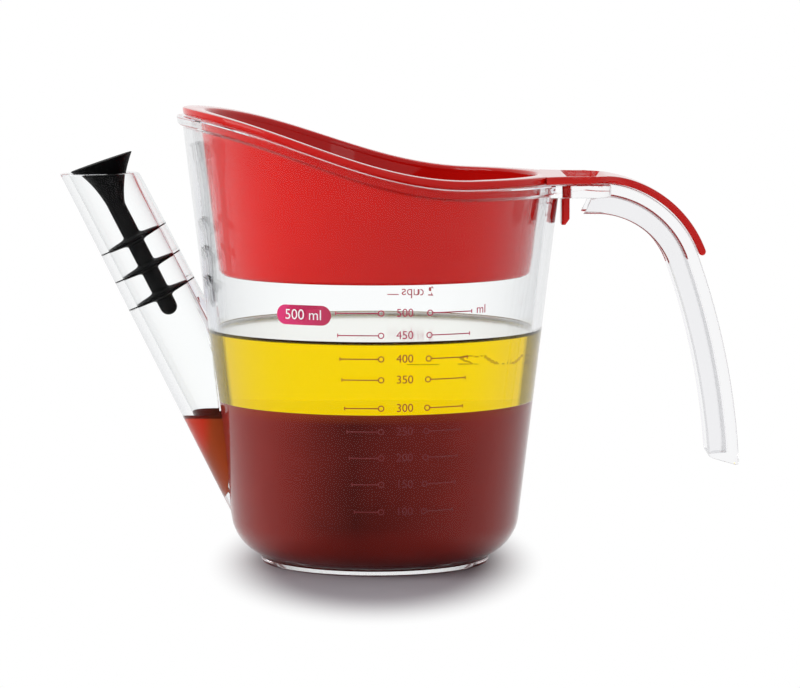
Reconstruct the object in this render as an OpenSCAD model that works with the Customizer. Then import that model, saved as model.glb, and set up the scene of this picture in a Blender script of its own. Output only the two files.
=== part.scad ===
// Gravy fat separator: a clear jug whose spout starts low on the wall, a red
// lift-out strainer with a thumb strap over the handle, and a soft stopper that
// shuts the spout while the fat is held back.
// +Z is up, the table is z = 0 and the cup's axis is the Z axis. The spout leans
// out to -X and the handle hangs out to +X. Millimetres.

/* [Cup] */
// Outer radius of the wall's line where it would meet the table
cup_r = 43; // [39:0.5:47]
// Lean of the wall from upright, in degrees
cup_draft = 6.85; // [4:0.05:8]
// Wall and floor thickness
wall_t = 2.6; // [2:0.1:3.2]
// Outer radius of the turn from wall to floor
corner_r = 14; // [9:0.5:17]
// Outer radius of the ring it stands on
foot_r = 35.5; // [30:0.5:37]
// Width of the ring it stands on
foot_w = 2.4; // [1.6:0.1:4]
// Height of the ring it stands on
foot_h = 1.6; // [1:0.1:2.4]
// Height at which the rim's swoop starts, just beyond the spout side
rim_high = 138.7; // [132:0.1:146]
// Height of the rim at the handle side
rim_low = 117.6; // [112:0.1:122]
// Distance from the axis at which the rim's swoop starts
rim_start = 67.5; // [60:0.5:75]
// Distance from the axis at which the rim has come down to its low level
rim_level_x = 30; // [15:1:40]
// How far the bead under the rim stands out
bead_t = 1.5; // [0.8:0.1:1.8]
// Height of the bead under the rim
bead_h = 3; // [2:0.1:5]

/* [Spout] */
// Lean of the spout from upright, in degrees
spout_tilt = 27; // [22:0.5:30]
// Distance of the mouth's centre from the cup's axis
mouth_x = 85.1; // [80:0.1:90]
// Height of the mouth's centre
mouth_z = 120.3; // [110:0.1:126]
// Rise of the lip towards the cup, in degrees
lip_tilt = 1.2; // [0:0.1:8]
// Bore radius
bore_r = 8.8; // [7:0.1:9]
// Wall at the mouth
spout_t = 2.2; // [1.6:0.1:3]
// Widening of the outside towards the cup, in degrees
spout_flare = 0.5; // [0:0.1:1.6]
// Height of the top of the port, where the bore opens into the cup
port_top = 42; // [36:1:50]

/* [Handle] */
// Width of the handle
handle_w = 18; // [15:0.5:22]
// Depth of the channel section
handle_d = 9.5; // [8:0.1:12]
// Thickness of the channel's back
web_t = 3.2; // [2.2:0.1:4]
// Thickness of the channel's sides
side_t = 2.6; // [1.8:0.1:3.2]
// Distance from the axis at which the back starts to bend
bend_x = 68; // [65:0.5:72]
// Radius of the bend on the back
bend_r = 33.3; // [28:0.5:40]
// Turn of the bend, in degrees
bend_turn = 70; // [60:1:76]
// Radius of the long sweep on the back
sweep_r = 225; // [160:5:320]
// Turn of the long sweep, in degrees
sweep_turn = 17.1; // [12:0.1:18]
// Length of the solid stretch that closes the lower end
end_plug = 4.5; // [3:0.5:8]
// Slope of the lower end, in degrees
end_slope = 16; // [0:1:25]
// Thickness of the root where it leaves the cup
root_t = 4; // [3.4:0.1:5]
// Width of the root and of the strap's shoulder over it
shoulder_w = 41; // [32:1:44]
// Distance from the axis to the end of the shoulder
shoulder_x = 72; // [69:0.5:75]
// Round on the shoulder's corners
shoulder_r = 5; // [3:0.5:7]
// Hollow round where the strap leaves the shoulder
strap_fillet = 5; // [2:0.5:5]
// Hollow round where the shoulder leaves the red rim
rim_fillet = 10; // [4:1:14]
// How far the channel's sides reach back towards the cup
beak_reach = 4; // [2:0.2:5]
// Depth of the thumb's dish in the shoulder
dish_d = 1.1; // [0.6:0.1:1.2]
// Width of the lip round the dish
dish_lip = 1.2; // [0.8:0.1:2]

/* [Strainer] */
// Space between the cup's wall and the basket
basket_gap = 3; // [2:0.1:5]
// Basket wall
basket_t = 1.8; // [1.2:0.1:2.4]
// Height of the basket's lowest face
basket_z = 89.4; // [84:0.5:98]
// Width of the ledge that carries the plate
ledge_w = 2.2; // [1.4:0.1:4]
// Thickness of the ledge
ledge_t = 1.2; // [0.8:0.1:2]
// Thickness of the perforated plate
plate_t = 1.6; // [1:0.1:2.4]
// Diameter of a strainer hole
hole_d = 2.6; // [1.6:0.1:3.2]
// Space from one ring of holes to the next
hole_pitch = 6.2; // [5:0.1:9]
// Height of the red rim
flange_h = 2.4; // [1.8:0.1:4]
// How far the red rim's edge stays inside the bead's
flange_in = 2.1; // [0:0.1:2.4]
// Play between the red rim and the cup's rim
seat_gap = 0.2; // [0.1:0.05:0.4]
// Thickness of the strap
strap_t = 2.3; // [1.6:0.1:2.8]
// Play between the strap and the handle under it
strap_gap = 0.3; // [0.2:0.05:0.6]
// Width of the strap
strap_w = 17; // [12:0.5:20]
// Turn of the strap down the handle, in degrees
strap_turn = 69.5; // [50:0.5:69.5]
// Width of the latch
latch_w = 14; // [8:0.5:16]
// Thickness of the latch
latch_t = 2.4; // [1.6:0.1:3]
// Reach of the latch below the cup's rim
latch_l = 13; // [9:0.5:16]
// Play round the latch
latch_gap = 0.3; // [0.2:0.05:0.6]

/* [Stopper] */
// Play between the fins and the bore
fin_gap = 0.08; // [0.05:0.01:0.1]
// Number of fins
fins = 3; // [2:1:4]
// Distance from the mouth's centre down to the first fin
first_fin = 23; // [19:0.2:24]
// Distance from one fin to the next
fin_pitch = 9.5; // [7:0.1:11]
// Thickness of a fin at the stem
fin_root_t = 2.4; // [1.6:0.1:3]
// Thickness of a fin at its edge
fin_edge_t = 0.9; // [0.5:0.1:1.4]
// Radius of the stem
stem_r = 2.7; // [2:0.1:3.4]
// Length of the stem below the last fin
stem_tail = 7; // [4:0.5:10]
// Radius of the trumpet's top
head_r = 9.9; // [9:0.1:10.2]
// Distance from the mouth's centre down to where the trumpet starts
head_drop = 12; // [10:0.5:17]
// How far the trumpet's top stands beyond the mouth's centre
head_rise = 3.5; // [3:0.1:6]
// Bend of the soft trumpet back to upright, in degrees
head_lean = 8; // [0:0.5:8]

/* [Hidden] */
$fn = 120;
slack = 1;              // how far a cutter runs past what it cuts
far = 150;              // longer than anything that a cutter crosses
rim_steps = 36;         // straight pieces in the rim's swoop
trumpet_steps = 12;     // rings in the trumpet
arc_steps = 24;         // straight pieces in each arc of the handle
clear_plastic = [0.86, 0.9, 0.92, 0.45];
red_plastic = [0.78, 0.12, 0.1];
black_rubber = [0.05, 0.05, 0.05];

lean = tan(cup_draft);
slant = 1 / cos(cup_draft);
function cup_at(z) = cup_r + lean * z;
function bead_at(z) = cup_at(z) + bead_t;
function flange_at(z) = bead_at(z) - flange_in;
function basket_at(z) = cup_at(z) - (wall_t + basket_gap) * slant;

// The rim: level at each side, and one cosine swoop between them
rim_start_x = -rim_start;
function swoop(u) = (1 + cos(180 * u)) / 2;
function rim_z(x) = rim_low + (rim_high - rim_low)
    * swoop(min(1, max(0, (x - rim_start_x) / (rim_level_x - rim_start_x))));
function rim_line(lift) = [
    [-far, rim_high + lift],
    for (i = [0:rim_steps])
        let (x = rim_start_x + (rim_level_x - rim_start_x) * i / rim_steps)
            [x, rim_z(x) + lift],
    [far, rim_low + lift]
];
function backwards(list) = [for (i = [len(list) - 1:-1:0]) list[i]];

// The strap's levels and the handle's bend share one centre
strap_under = rim_low + strap_gap;
strap_top = strap_under + strap_t;
bend_z = rim_low - bend_r;
sweep_x = bend_x + (bend_r - sweep_r) * sin(bend_turn);
sweep_z = bend_z + (bend_r - sweep_r) * cos(bend_turn);
strap_inner_r = strap_under - bend_z;
strap_outer_r = strap_top - bend_z;

// The latch stands just clear of the cup's wall
latch_x = cup_at(rim_low) + latch_gap;
slot_end_x = latch_x + latch_t + latch_gap;

// A side view, drawn in X and Z, given a thickness across Y
module across(width) {
    rotate([90, 0, 0]) translate([0, 0, -width / 2]) linear_extrude(width) children();
}

// Everything between two lines that follow the rim
module rim_band(low, high) {
    across(far) polygon(concat(rim_line(low), backwards(rim_line(high))));
}

module below_rim() {
    across(far) polygon(concat([[-far, -slack]], rim_line(0), [[far, -slack]]));
}

// Half section of the cup, drawn in by inset on every side
module cup_section(inset) {
    turn_z = foot_h + corner_r;
    turn_x = cup_at(turn_z) - corner_r * slant;
    r = corner_r - inset;
    top = rim_high + far;
    polygon([
        [0, foot_h + inset],
        [turn_x, foot_h + inset],
        [turn_x, turn_z],
        [turn_x + r * cos(cup_draft), turn_z - r * sin(cup_draft)],
        [cup_at(top) - inset * slant, top],
        [0, top]
    ]);
    translate([turn_x, turn_z]) intersection() {
        circle(r);
        translate([0, -r]) square([r, 2 * r]);
    }
}

module cup_form(inset) {
    rotate_extrude() cup_section(inset);
}

module foot_ring() {
    difference() {
        cylinder(r = foot_r, h = foot_h + wall_t / 2);
        translate([0, 0, -slack]) cylinder(r = foot_r - foot_w, h = foot_h + slack);
    }
}

// The bead leaves a gap at the handle side, where the latch comes down
module rim_bead() {
    base = rim_low - bead_h - slack;
    top = rim_high + slack;
    difference() {
        intersection() {
            rotate_extrude() polygon([
                [cup_at(base) - wall_t / 2, base],
                [bead_at(base), base],
                [bead_at(top), top],
                [cup_at(top) - wall_t / 2, top]
            ]);
            rim_band(-bead_h, slack);
        }
        latch_slot();
    }
}

// What is cut away for the latch, from the cup's wall outwards
module latch_slot() {
    width = latch_w + 2 * latch_gap;
    difference() {
        translate([0, -width / 2, rim_low - far / 2]) cube([slot_end_x, width, far]);
        cup_form(0);
    }
}

// The lowest level at which the wall is straight, where spout and port end
wall_z = foot_h + corner_r;

// Places what is drawn round +Z on the spout's axis, with z = 0 at the mouth
module on_spout() {
    translate([-mouth_x, 0, mouth_z]) rotate([0, -spout_tilt, 0]) children();
}

module spout_bore() {
    on_spout() translate([0, 0, -far]) cylinder(r = bore_r, h = 2 * far);
}

module port() {
    intersection() {
        spout_bore();
        translate([-far, -far / 2, wall_z]) cube([far, far, port_top - wall_z]);
    }
}

module jug_body() {
    color(clear_plastic) difference() {
        union() {
            intersection() {
                union() {
                    cup_form(0);
                    rim_bead();
                }
                below_rim();
            }
            foot_ring();
        }
        cup_form(wall_t);
        port();
    }
}

module pour_spout() {
    reach = mouth_z / cos(spout_tilt);
    mouth_r = bore_r + spout_t;
    grow = tan(spout_flare);
    color(clear_plastic) difference() {
        on_spout() translate([0, 0, -reach]) cylinder(
            r1 = mouth_r + grow * reach, r2 = mouth_r - grow * mouth_r, h = reach + mouth_r);
        spout_bore();
        cup_form(0);
        translate([-far, -far / 2, wall_z - far]) cube(far);
        translate([-mouth_x, 0, mouth_z]) rotate([0, -lip_tilt, 0])
            translate([-far / 2, -far / 2, 0]) cube(far);
    }
}

// A rectangle from the origin to +X with rounded corners of radius r
module rounded_box(length, width, r) {
    translate([r, -width / 2]) square([length - 2 * r, width]);
    translate([0, r - width / 2]) square([length, width - 2 * r]);
    for (x = [r, length - r], y = [r - width / 2, width / 2 - r]) {
        translate([x, y]) circle(r);
    }
}

// Points round the Y axis, from one angle below the top through a turn
function arc(x, z, r, from, turn) = [
    for (i = [0:arc_steps]) let (a = from + turn * i / arc_steps) [x + r * sin(a), z + r * cos(a)]
];

// A line down the handle at one depth under its back, in side view
function handle_line(depth, sweep) = concat(
    arc(bend_x, bend_z, bend_r - depth, 0, bend_turn),
    arc(sweep_x, sweep_z, sweep_r - depth, bend_turn + sweep / arc_steps, sweep)
);

// Shoulder over and beside the root, seen from above
module shoulder_plan() {
    inside = cup_at(rim_low) - wall_t;
    translate([inside / 2, 0]) rounded_box(shoulder_x - inside / 2, shoulder_w, shoulder_r);
}

// The root's top follows the handle's bend at its outer end
module handle_root() {
    intersection() {
        translate([0, 0, rim_low - root_t]) linear_extrude(root_t) shoulder_plan();
        across(far) polygon(concat(
            [[0, 0], [0, rim_low]],
            arc(bend_x, bend_z, bend_r, 0, bend_turn),
            [[bend_x + bend_r, 0]]
        ));
    }
}

// The channel seen from the side: its sides start in a beak that points at the cup
module handle_side() {
    polygon(concat(
        handle_line(0, sweep_turn),
        backwards(handle_line(handle_d, sweep_turn)),
        [
            [bend_x - beak_reach, rim_low - handle_d],
            [bend_x, rim_low - root_t],
            [bend_x - beak_reach, rim_low - root_t / 2],
            [bend_x - beak_reach, rim_low]
        ]
    ));
}

// The channel's hollow stops short of the lower end
module handle_hollow() {
    plug_turn = end_plug / sweep_r * 180 / PI;
    polygon(concat(
        handle_line(web_t, sweep_turn - plug_turn),
        backwards(handle_line(handle_d + slack, sweep_turn - plug_turn)),
        [
            [bend_x - beak_reach - slack, rim_low - handle_d - slack],
            [bend_x - beak_reach - slack, rim_low - root_t],
            [bend_x, rim_low - root_t]
        ]
    ));
}

module handle() {
    end_turn = bend_turn + sweep_turn;
    color(clear_plastic) difference() {
        union() {
            handle_root();
            across(handle_w) handle_side();
        }
        across(handle_w - 2 * side_t) handle_hollow();
        cup_form(0);
        rim_bead();
        latch_slot();
        translate([sweep_x + sweep_r * sin(end_turn), 0, sweep_z + sweep_r * cos(end_turn)])
            rotate([0, end_slope, 0]) translate([-far / 2, -far / 2, -far]) cube(far);
    }
}

module strainer_basket() {
    top = rim_high + far / 2;
    color(red_plastic) intersection() {
        rotate_extrude() polygon([
            [basket_at(basket_z) - basket_t - ledge_w, basket_z],
            [basket_at(basket_z), basket_z],
            [basket_at(top), top],
            [basket_at(top) - basket_t, top],
            [basket_at(basket_z + ledge_t) - basket_t, basket_z + ledge_t],
            [basket_at(basket_z + ledge_t) - basket_t - ledge_w, basket_z + ledge_t]
        ]);
        across(far) polygon(concat([[-far, -slack]], rim_line(seat_gap), [[far, -slack]]));
    }
}

module strainer_plate() {
    z = basket_z + ledge_t;
    r = basket_at(z) - basket_t;
    rings = floor((r - ledge_w - hole_d) / hole_pitch);
    color(red_plastic) translate([0, 0, z]) difference() {
        cylinder(r1 = r, r2 = r + lean * plate_t, h = plate_t);
        for (ring = [0:rings], i = [0:max(0, 6 * ring - 1)]) {
            rotate([0, 0, ring == 0 ? 0 : 60 * i / ring])
                translate([ring * hole_pitch, 0, -slack])
                    cylinder(d = hole_d, h = plate_t + 2 * slack, $fn = 24);
        }
    }
}

// The strap from the side: level over the root, round the handle's bend, round tip
module strap_side() {
    mid_r = (strap_inner_r + strap_outer_r) / 2;
    polygon(concat(
        [[0, strap_under], [0, strap_top]],
        arc(bend_x, bend_z, strap_outer_r, 0, strap_turn),
        arc(bend_x + mid_r * sin(strap_turn), bend_z + mid_r * cos(strap_turn),
            strap_t / 2, strap_turn + 180 / arc_steps, 180 - 360 / arc_steps),
        backwards(arc(bend_x, bend_z, strap_inner_r, 0, strap_turn))
    ));
}

// The red rim's outer surface, filled, from one level to another
module rim_form(low, top, inset) {
    rotate_extrude() polygon([
        [0, low],
        [flange_at(low) - inset, low],
        [flange_at(top) - inset, top],
        [0, top]
    ]);
}

module splash_rim() {
    low = rim_low - slack;
    top = rim_high + flange_h + slack;
    color(red_plastic) intersection() {
        difference() {
            rim_form(low, top, 0);
            rim_form(low - slack, top + slack, flange_at(0) - basket_at(0) + basket_t);
        }
        rim_band(seat_gap, seat_gap + flange_h);
    }
}

// The dish for the thumb keeps a lip on every side
module thumb_dish() {
    start = flange_at(rim_low) + dish_lip;
    length = shoulder_x - dish_lip - start;
    width = shoulder_w - 2 * dish_lip;
    translate([start, 0, strap_top - dish_d]) linear_extrude(far)
        rounded_box(length, width, min(shoulder_r - dish_lip, 0.4 * length));
}

// Hollow rounds beside the strap, where it leaves the shoulder
module strap_fillets() {
    half = strap_w / 2;
    r = min(strap_fillet, max(slack / 2, shoulder_w / 2 - shoulder_r - half));
    for (side = [-1, 1]) mirror([0, side < 0 ? 1 : 0]) difference() {
        translate([shoulder_x - slack, half - slack]) square(r + slack);
        translate([shoulder_x + r, half + r]) circle(r);
    }
}

// Hollow rounds beside the shoulder, where it leaves the red rim
module rim_fillets() {
    half = shoulder_w / 2;
    r = rim_fillet;
    ring = flange_at(strap_top);
    c = [sqrt(pow(ring + r, 2) - pow(half + r, 2)), half + r];
    on_ring = c * ring / (ring + r);
    for (side = [-1, 1]) mirror([0, side < 0 ? 1 : 0]) difference() {
        polygon([on_ring * 0.9, on_ring, c, [c.x, half], [c.x, half - slack]]);
        translate(c) circle(r);
    }
}

module thumb_rest() {
    color(red_plastic) difference() {
        union() {
            across(strap_w) strap_side();
            intersection() {
                linear_extrude(far) {
                    shoulder_plan();
                    strap_fillets();
                    rim_fillets();
                }
                across(far) strap_side();
            }
        }
        rim_form(rim_low - slack, strap_top + slack, 0);
        thumb_dish();
    }
}

// The latch hangs from the thumb rest, and stops under the red rim
module latch_tab() {
    bottom = rim_low - latch_l;
    bevel = latch_t / 2;
    color(red_plastic) difference() {
        across(latch_w) polygon([
            [latch_x, bottom],
            [latch_x + latch_t - bevel, bottom],
            [latch_x + latch_t, bottom + 2 * bevel],
            [latch_x + latch_t, strap_under],
            [latch_x, strap_under]
        ]);
        rim_form(rim_low + seat_gap, strap_top + slack, 0);
    }
}

// Trumpet radius at the share u of its length
function trumpet_r(u) = stem_r + (head_r - stem_r) * pow(u, 2.8);

module trumpet() {
    length = head_drop + head_rise;
    rotate_extrude() polygon(concat(
        [[0, 0]],
        [for (i = [0:trumpet_steps])
            let (u = i / trumpet_steps) [trumpet_r(u), length * u]],
        [[0, length]]
    ));
}

// The stem has a round end and runs a little way up into the trumpet
module stopper_stem() {
    foot = first_fin + (fins - 1) * fin_pitch + stem_tail;
    translate([0, 0, stem_r - foot]) sphere(stem_r);
    translate([0, 0, stem_r - foot]) cylinder(r = stem_r, h = foot - head_drop);
    translate([0, 0, -head_drop]) rotate([0, head_lean, 0]) trumpet();
}

module stopper_fin() {
    r = bore_r - fin_gap;
    rotate_extrude() polygon([
        [0, -fin_root_t / 2],
        [stem_r, -fin_root_t / 2],
        [r, -fin_edge_t / 2],
        [r, fin_edge_t / 2],
        [stem_r, fin_root_t / 2],
        [0, fin_root_t / 2]
    ]);
}

module spout_stopper() {
    color(black_rubber) on_spout() {
        stopper_stem();
        for (i = [0:fins - 1]) {
            translate([0, 0, -first_fin - i * fin_pitch]) stopper_fin();
        }
    }
}

jug_body();
pour_spout();
handle();
strainer_basket();
strainer_plate();
splash_rim();
thumb_rest();
latch_tab();
spout_stopper();
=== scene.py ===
from math import atan2, cos, degrees, pi, radians, sin, sqrt, tan

import bmesh
import bpy
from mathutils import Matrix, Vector


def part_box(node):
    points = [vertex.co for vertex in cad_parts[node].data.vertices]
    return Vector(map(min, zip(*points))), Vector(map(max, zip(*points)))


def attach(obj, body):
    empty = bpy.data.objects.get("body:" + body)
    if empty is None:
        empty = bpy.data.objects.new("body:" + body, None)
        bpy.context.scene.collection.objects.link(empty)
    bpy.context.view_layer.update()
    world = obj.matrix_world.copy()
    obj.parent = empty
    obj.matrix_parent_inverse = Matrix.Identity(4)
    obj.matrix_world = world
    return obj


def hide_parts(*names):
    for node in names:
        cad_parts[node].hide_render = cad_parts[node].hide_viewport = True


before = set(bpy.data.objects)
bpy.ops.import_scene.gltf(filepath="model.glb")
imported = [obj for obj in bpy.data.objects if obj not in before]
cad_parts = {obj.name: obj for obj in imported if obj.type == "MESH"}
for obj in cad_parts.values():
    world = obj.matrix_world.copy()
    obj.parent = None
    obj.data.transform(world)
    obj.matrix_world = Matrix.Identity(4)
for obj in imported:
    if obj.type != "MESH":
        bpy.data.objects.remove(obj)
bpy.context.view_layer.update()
print("frame loaded:", ", ".join(sorted(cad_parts)))

mm = 0.001
scene = bpy.context.scene
scene.view_settings.view_transform = "Standard"


def bottom(node):
    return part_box(node)[0].z / mm


# camera: placed so that the cup's axis and rim fall on the photograph's own pixels

photo = {
    "wide": 800,
    "high": 688,
    "axisX": 375,  # pixel column of the cup's axis
    "aimY": 331.4,  # pixel row of the point that the camera aims at
    "away": 1118,  # how far the camera stands from the axis
    "up": 177.9,
    "aimUp": 71.15,  # height of the point that it aims at
    "lens": 163.0,
    "film": 36,
}


def placeCamera():
    data = bpy.data.cameras.new("photoCamera")
    data.lens = photo["lens"]
    data.sensor_width = photo["film"]
    data.shift_x = (photo["wide"] / 2 - photo["axisX"]) / photo["wide"]
    data.shift_y = (photo["aimY"] - photo["high"] / 2) / photo["wide"]
    data.clip_start = 0.05
    data.clip_end = 20
    camera = bpy.data.objects.new("photoCamera", data)
    scene.collection.objects.link(camera)
    camera.location = Vector((0, -photo["away"], photo["up"])) * mm
    look = Vector((0, 0, photo["aimUp"])) * mm - camera.location
    camera.rotation_euler = look.to_track_quat("-Z", "Y").to_euler()
    scene.camera = camera


placeCamera()
print("camera placed")


# shader maths


# A value in a finish, which may change over the surface.
class Channel:
    def __init__(self, finish, socket):
        self.finish = finish
        self.socket = socket

    def __add__(self, other):
        return self.finish.maths("ADD", self, other)

    def __sub__(self, other):
        return self.finish.maths("SUBTRACT", self, other)

    def __rsub__(self, other):
        return self.finish.maths("SUBTRACT", other, self)

    def __mul__(self, other):
        return self.finish.maths("MULTIPLY", self, other)

    __radd__ = __add__
    __rmul__ = __mul__

    def limited(self):
        return self.finish.maths("MINIMUM", self.finish.maths("MAXIMUM", self, 0), 1)


# The nodes of a material or of the world.
class Finish:
    def __init__(self, owner):
        owner.use_nodes = True
        self.owner = owner
        self.nodes = owner.node_tree.nodes
        self.links = owner.node_tree.links
        self.nodes.clear()

    def add(self, kind, settings=None, values=None):
        node = self.nodes.new("ShaderNode" + kind)
        for name, setting in (settings or {}).items():
            if name == "stops":
                self.setStops(node.color_ramp, setting)
            else:
                setattr(node, name, setting)
        for key, value in (values or {}).items():
            if isinstance(value, Channel):
                self.links.new(value.socket, node.inputs[key])
            else:
                node.inputs[key].default_value = value
        return [Channel(self, socket) for socket in node.outputs]

    def setStops(self, ramp, stops):
        while len(ramp.elements) < len(stops):
            ramp.elements.new(1)
        for element, (at, shade) in zip(ramp.elements, stops):
            element.position = at
            element.color = shade

    def maths(self, operation, *terms):
        return self.add("Math", {"operation": operation}, dict(enumerate(terms)))[0]

    def done(self, shader, end="OutputMaterial"):
        self.add(end, {}, {"Surface": shader})
        return self.owner


def newFinish(name):
    return Finish(bpy.data.materials.new(name))


def rgb(red, green, blue):
    def linear(v):
        v = v / 255
        return v / 12.92 if v <= 0.04045 else ((v + 0.055) / 1.055) ** 2.4

    return (linear(red), linear(green), linear(blue), 1)


def mixColour(finish, share, low, high):
    return finish.add("Mix", {"data_type": "RGBA"}, {0: share, 6: low, 7: high})[2]


def mixShader(finish, share, low, high):
    return finish.add("MixShader", {}, {0: share, 1: low, 2: high})[0]


def principled(finish, sockets):
    return finish.add("BsdfPrincipled", {}, sockets)[0]


# 0 where a value is at start and 1 where it is at end, even between them and flat beyond.
def between(value, start, end):
    return ((value - start) * (1 / (end - start))).limited()


# X, Y and Z of the surface, in millimetres.
def place(finish):
    spot = finish.add("TexCoord")[3]
    return [axis * (1 / mm) for axis in finish.add("SeparateXYZ", {}, {0: spot})]


def noise(finish, scale, detail=2):
    spot = finish.add("TexCoord")[3]
    return finish.add("TexNoise", {}, {"Vector": spot, "Scale": scale, "Detail": detail})[0]


def ripple(finish, scale, strength, depth):
    height = noise(finish, scale)
    return finish.add("Bump", {}, {"Strength": strength, "Distance": depth * mm, "Height": height})[0]


def facingAway(finish):
    return finish.add("LayerWeight", {}, {"Blend": 0.5})[1]


# finishes


clearLook = {
    "ior": 1.46,
    "glint": (0.1, 0.1, 0.1, 1),
    "shadow": (0.93, 0.93, 0.95, 1),
    "handleFrom": 52.0,  # X from which the handle is painted greyer, with darker painted shade at its edges
    "handleTo": 63.1,
    "bounces": 5,  # rays that have bounced more often than this go straight on
    "mirrored": 2,  # and so do those that have been reflected more often than this
}


# Shadow rays go straight through what is clear, and so do rays that are trapped inside it.
def straightOn(finish):
    path = finish.add("LightPath")
    shadow, depth, mirrored = path[1], path[9], path[11]
    longWay = finish.maths("GREATER_THAN", depth, clearLook["bounces"])
    trapped = finish.maths("GREATER_THAN", mirrored, clearLook["mirrored"])
    return finish.maths("MAXIMUM", shadow, finish.maths("MAXIMUM", longWay, trapped))


def clearPlastic():
    f = newFinish("clearPlastic")
    facing = facingAway(f)
    # Painted shade: the plastic turns grey where its surface turns away, in place of darker refractions at
    # its edges, and the handle is painted greyer still.
    edge = f.maths("POWER", facing, 2)
    handleShade = between(place(f)[0], clearLook["handleFrom"], clearLook["handleTo"])
    faceOn = mixColour(f, handleShade, rgb(253, 254, 254), rgb(247, 247, 248))
    edgeShade = mixColour(f, handleShade, rgb(168, 170, 174), rgb(122, 124, 128))
    body = principled(
        f,
        {
            "Base Color": mixColour(f, edge, faceOn, edgeShade),
            "Roughness": 0.0,
            "IOR": clearLook["ior"],
            "Specular Tint": clearLook["glint"],
            "Transmission Weight": 1.0,
            "Normal": ripple(f, 26, 0.025, 0.4),
        },
    )
    light = f.add("BsdfTransparent", {}, {0: clearLook["shadow"]})[0]
    return f.done(mixShader(f, straightOn(f), body, light))


def redPlastic():
    f = newFinish("redPlastic")
    sockets = {
        "Base Color": mixColour(f, noise(f, 18), rgb(200, 14, 12), rgb(216, 22, 14)),
        "Roughness": noise(f, 900, 3) * 0.03 + 0.04,
        "IOR": 1.48,
        "Specular IOR Level": 0.2,
        "Normal": ripple(f, 60, 0.03, 0.1),
    }
    return f.done(principled(f, sockets))


def blackSilicone():
    f = newFinish("blackSilicone")
    sockets = {
        "Base Color": mixColour(f, noise(f, 90), rgb(5, 5, 6), rgb(11, 11, 12)),
        "Roughness": noise(f, 1500, 4) * 0.15 + 0.42,
        "Specular IOR Level": 0.03,
        "Normal": ripple(f, 1300, 0.18, 0.1),
    }
    return f.done(principled(f, sockets))


gravyLook = {
    "core": -6.0,  # X of the dark core, where shade is painted
    "palestAt": 41.7,  # distance from the core at which the painted highlight on the sides is palest
    "footTop": 16.0,  # paler below this
    "footFull": 7.7,
    "warmFrom": 47.5,  # and warmer above this, where it nears the fat
    "warmFull": 50.5,
    "ior": 1.36,
}


def gravy():
    f = newFinish("gravy")
    x, _, z = place(f)
    # Painted shade and highlight: dark in a core at a fixed X and paler towards the sides, mixed with
    # random cloud.
    side = between(f.maths("ABSOLUTE", x - gravyLook["core"]), 0, gravyLook["palestAt"])
    cloud = noise(f, 45, 4)
    sideHighlightAndCloud = (side * 0.8 + cloud * 0.35 - 0.1).limited()
    foot = between(z, gravyLook["footTop"], gravyLook["footFull"])
    warm = between(z, gravyLook["warmFrom"], gravyLook["warmFull"])
    shade = mixColour(f, sideHighlightAndCloud, rgb(84, 28, 24), rgb(160, 52, 46))
    shade = mixColour(f, foot * 0.6, shade, rgb(150, 46, 40))
    sockets = {
        "Base Color": mixColour(f, warm * 0.7, shade, rgb(156, 62, 30)),
        "Roughness": cloud * 0.1 + 0.25,
        "IOR": gravyLook["ior"],
        "Specular IOR Level": 0.05,
    }
    return f.done(principled(f, sockets))


spoutLook = {
    "outer": -68.0,  # X over which the colour runs, from a paler painted highlight on the outside to browner painted shade by the cup
    "inner": -49.8,
    "lineFrom": 44.9,  # the dark line of painted shade at the surface
    "lineFull": 45.2,
    "stops": [
        (0.0, rgb(196, 96, 82)),
        (0.45, rgb(196, 62, 38)),
        (0.85, rgb(186, 48, 28)),
        (1.0, rgb(150, 62, 26)),
    ],
}


def spoutGravy():
    f = newFinish("spoutGravy")
    x, _, z = place(f)
    # Painted light: the gravy is paler towards the outside of the spout and browner towards the cup.
    across = between(x, spoutLook["outer"], spoutLook["inner"])
    shade = f.add("ValToRGB", {"stops": spoutLook["stops"]}, {0: across})[0]
    # Painted shade: a dark line just under the surface.
    line = between(z, spoutLook["lineFrom"], spoutLook["lineFull"])
    sockets = {
        "Base Color": mixColour(f, line * 0.85, shade, rgb(40, 14, 12)),
        "Roughness": 0.3,
        "IOR": gravyLook["ior"],
        "Specular IOR Level": 0.0,
    }
    return f.done(principled(f, sockets))


# Heights between which the ink takes on the look that it has with fat, and with gravy, behind it.
inkLevels = {"fat": (73.5, 72.4), "gravy": (47.8, 46.7)}


def inkShade(finish, z, clear, overFat, overGravy):
    shade = mixColour(finish, between(z, *inkLevels["fat"]), clear, overFat)
    return mixColour(finish, between(z, *inkLevels["gravy"]), shade, overGravy)


def redInk():
    f = newFinish("redInk")
    sockets = {
        "Base Color": inkShade(f, place(f)[2], rgb(186, 24, 76), rgb(150, 16, 8), rgb(120, 14, 20)),
        "Roughness": noise(f, 700, 3) * 0.2 + 0.3,
    }
    return f.done(principled(f, sockets))


def pillInk():
    f = newFinish("pillInk")
    across = between(place(f)[0], -30, -13.3)
    sockets = {
        "Base Color": mixColour(f, across, rgb(222, 18, 110), rgb(186, 34, 78)),
        "Roughness": noise(f, 500, 3) * 0.2 + 0.3,
    }
    return f.done(principled(f, sockets))


def whiteInk():
    f = newFinish("whiteInk")
    shade = mixColour(f, noise(f, 400), rgb(250, 236, 240), rgb(255, 250, 252))
    return f.done(principled(f, {"Base Color": shade, "Roughness": 0.4}))


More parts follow.
